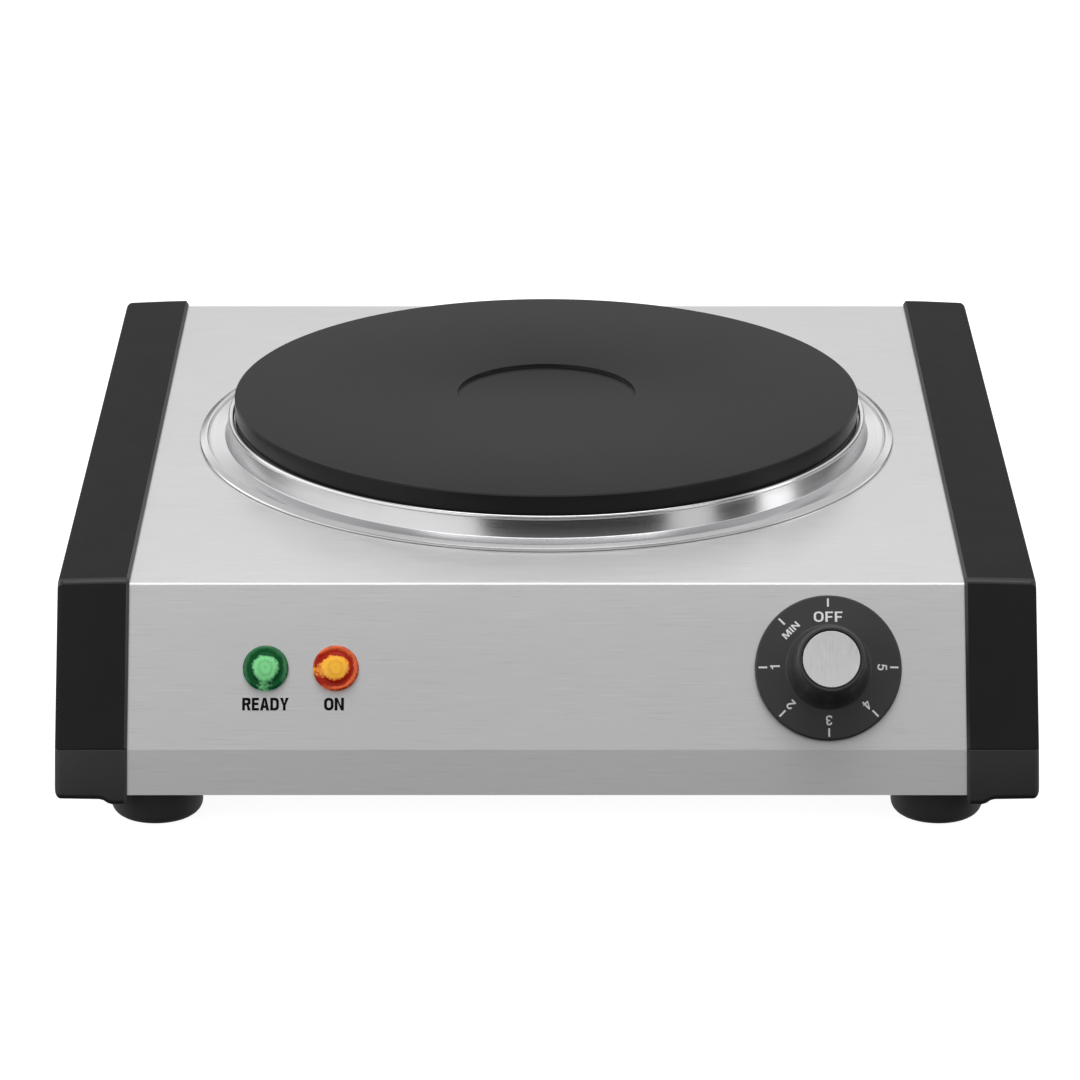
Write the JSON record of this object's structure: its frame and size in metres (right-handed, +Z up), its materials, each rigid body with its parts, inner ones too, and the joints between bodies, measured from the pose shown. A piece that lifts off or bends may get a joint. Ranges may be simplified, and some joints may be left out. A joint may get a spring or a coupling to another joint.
{
  "type": "hot plate burner",
  "caption": "Electric hot plate: a round cast-iron plate in a drip ring on a low steel housing between black end panels, with a turning control knob and indicator lamps.",
  "frame": {"origin": "on the worktop, under the middle of the body", "axes": "+Z up, +X to the user's right, -Y towards the user, where the knob and lamps are"},
  "size_m": [0.277, 0.2991, 0.0784],
  "materials": {
    "housing_steel": "satin stainless sheet, brushed from side to side",
    "end_panel_plastic": "black moulded plastic, satin",
    "galvanised_steel": "galvanised sheet, dull",
    "foot_rubber": "black rubber, matt",
    "screw_steel": "bright zinc plating",
    "cast_iron": "black heat-proof coating on cast iron, finely grained",
    "ring_steel": "pressed stainless steel, polished",
    "element_sheath": "oxidised alloy tube",
    "insulation": "pressed mineral filling, chalky",
    "ceramic": "unglazed white steatite",
    "knob_plastic": "black heat-resistant plastic with white printed marks",
    "cap_aluminium": "brushed aluminium disc",
    "brass": "bare brass",
    "green_lens": "clear green plastic, faceted inside",
    "amber_lens": "clear amber plastic, faceted inside",
    "lamp_plastic": "off-white moulded plastic",
    "gland_plastic": "black moulded nylon",
    "red_sleeve": "red glass-fibre sleeve over a copper lead",
    "white_sleeve": "white glass-fibre sleeve over a copper lead",
    "green_sleeve": "green earth lead"
  },
  "bodies": {
    "base": {"housing_shell": "housing_steel", "right_end_panel": "end_panel_plastic", "left_end_panel": "end_panel_plastic", "base_plate": "galvanised_steel", "foot_front_left": "foot_rubber", "foot_front_right": "foot_rubber", "foot_rear_left": "foot_rubber", "foot_rear_right": "foot_rubber", "foot_screw_front_left": "screw_steel", "foot_screw_front_right": "screw_steel", "foot_screw_rear_left": "screw_steel", "foot_screw_rear_right": "screw_steel", "panel_screw_front_left": "screw_steel", "panel_screw_front_right": "screw_steel", "panel_screw_rear_left": "screw_steel", "panel_screw_rear_right": "screw_steel", "base_screw_front_left": "screw_steel", "base_screw_front_right": "screw_steel", "base_screw_rear_left": "screw_steel", "base_screw_rear_right": "screw_steel", "cooking_plate": "cast_iron", "drip_ring": "ring_steel", "heating_element": "element_sheath", "insulation_disc": "insulation", "element_cover": "galvanised_steel", "element_bead_outer": "ceramic", "element_bead_inner": "ceramic", "plate_stud": "screw_steel", "cover_nut": "screw_steel", "crossbar": "galvanised_steel", "crossbar_nut": "screw_steel", "heat_shield": "galvanised_steel", "thermal_cutout": "ceramic", "thermostat_bracket": "galvanised_steel", "thermostat_stack": "ceramic", "bimetal_blade": "brass", "thermostat_screw_left": "screw_steel", "thermostat_screw_right": "screw_steel", "ready_lens": "green_lens", "ready_lamp_clip": "screw_steel", "ready_lamp_holder": "lamp_plastic", "on_lens": "amber_lens", "on_lamp_clip": "screw_steel", "on_lamp_holder": "lamp_plastic", "cord_gland": "gland_plastic", "terminal_block": "ceramic", "terminal_block_screw": "screw_steel", "earth_screw": "brass", "live_wire": "red_sleeve", "switched_wire": "red_sleeve", "lamp_feed_wire": "red_sleeve", "neutral_wire": "white_sleeve", "element_wire": "white_sleeve", "lamp_link_wire": "white_sleeve", "lamp_return_wire": "white_sleeve", "earth_wire": "green_sleeve"},
    "knob": {"control_knob": "knob_plastic", "knob_cap": "cap_aluminium", "thermostat_spindle": "brass"},
    "blade": {"contact_blade": "brass"}
  },
  "joints": [
    {"name": "knob_turn", "type": "hinge", "parent": "base", "child": "knob", "pos_m": [0.0793, -0.12935, 0.04379], "axis": [0, 0.8659, -0.5002], "range_deg": [0, 270]},
    {"name": "blade_flex", "type": "hinge", "parent": "base", "child": "blade", "pos_m": [0.0703, -0.12147, 0.03924], "axis": [0, 0.5002, 0.8659], "range_deg": [0, 3.5]}
  ],
  "couplings": [
    {"joint": "blade_flex", "follows": "knob_turn", "ratio": 0.0129}
  ]
}
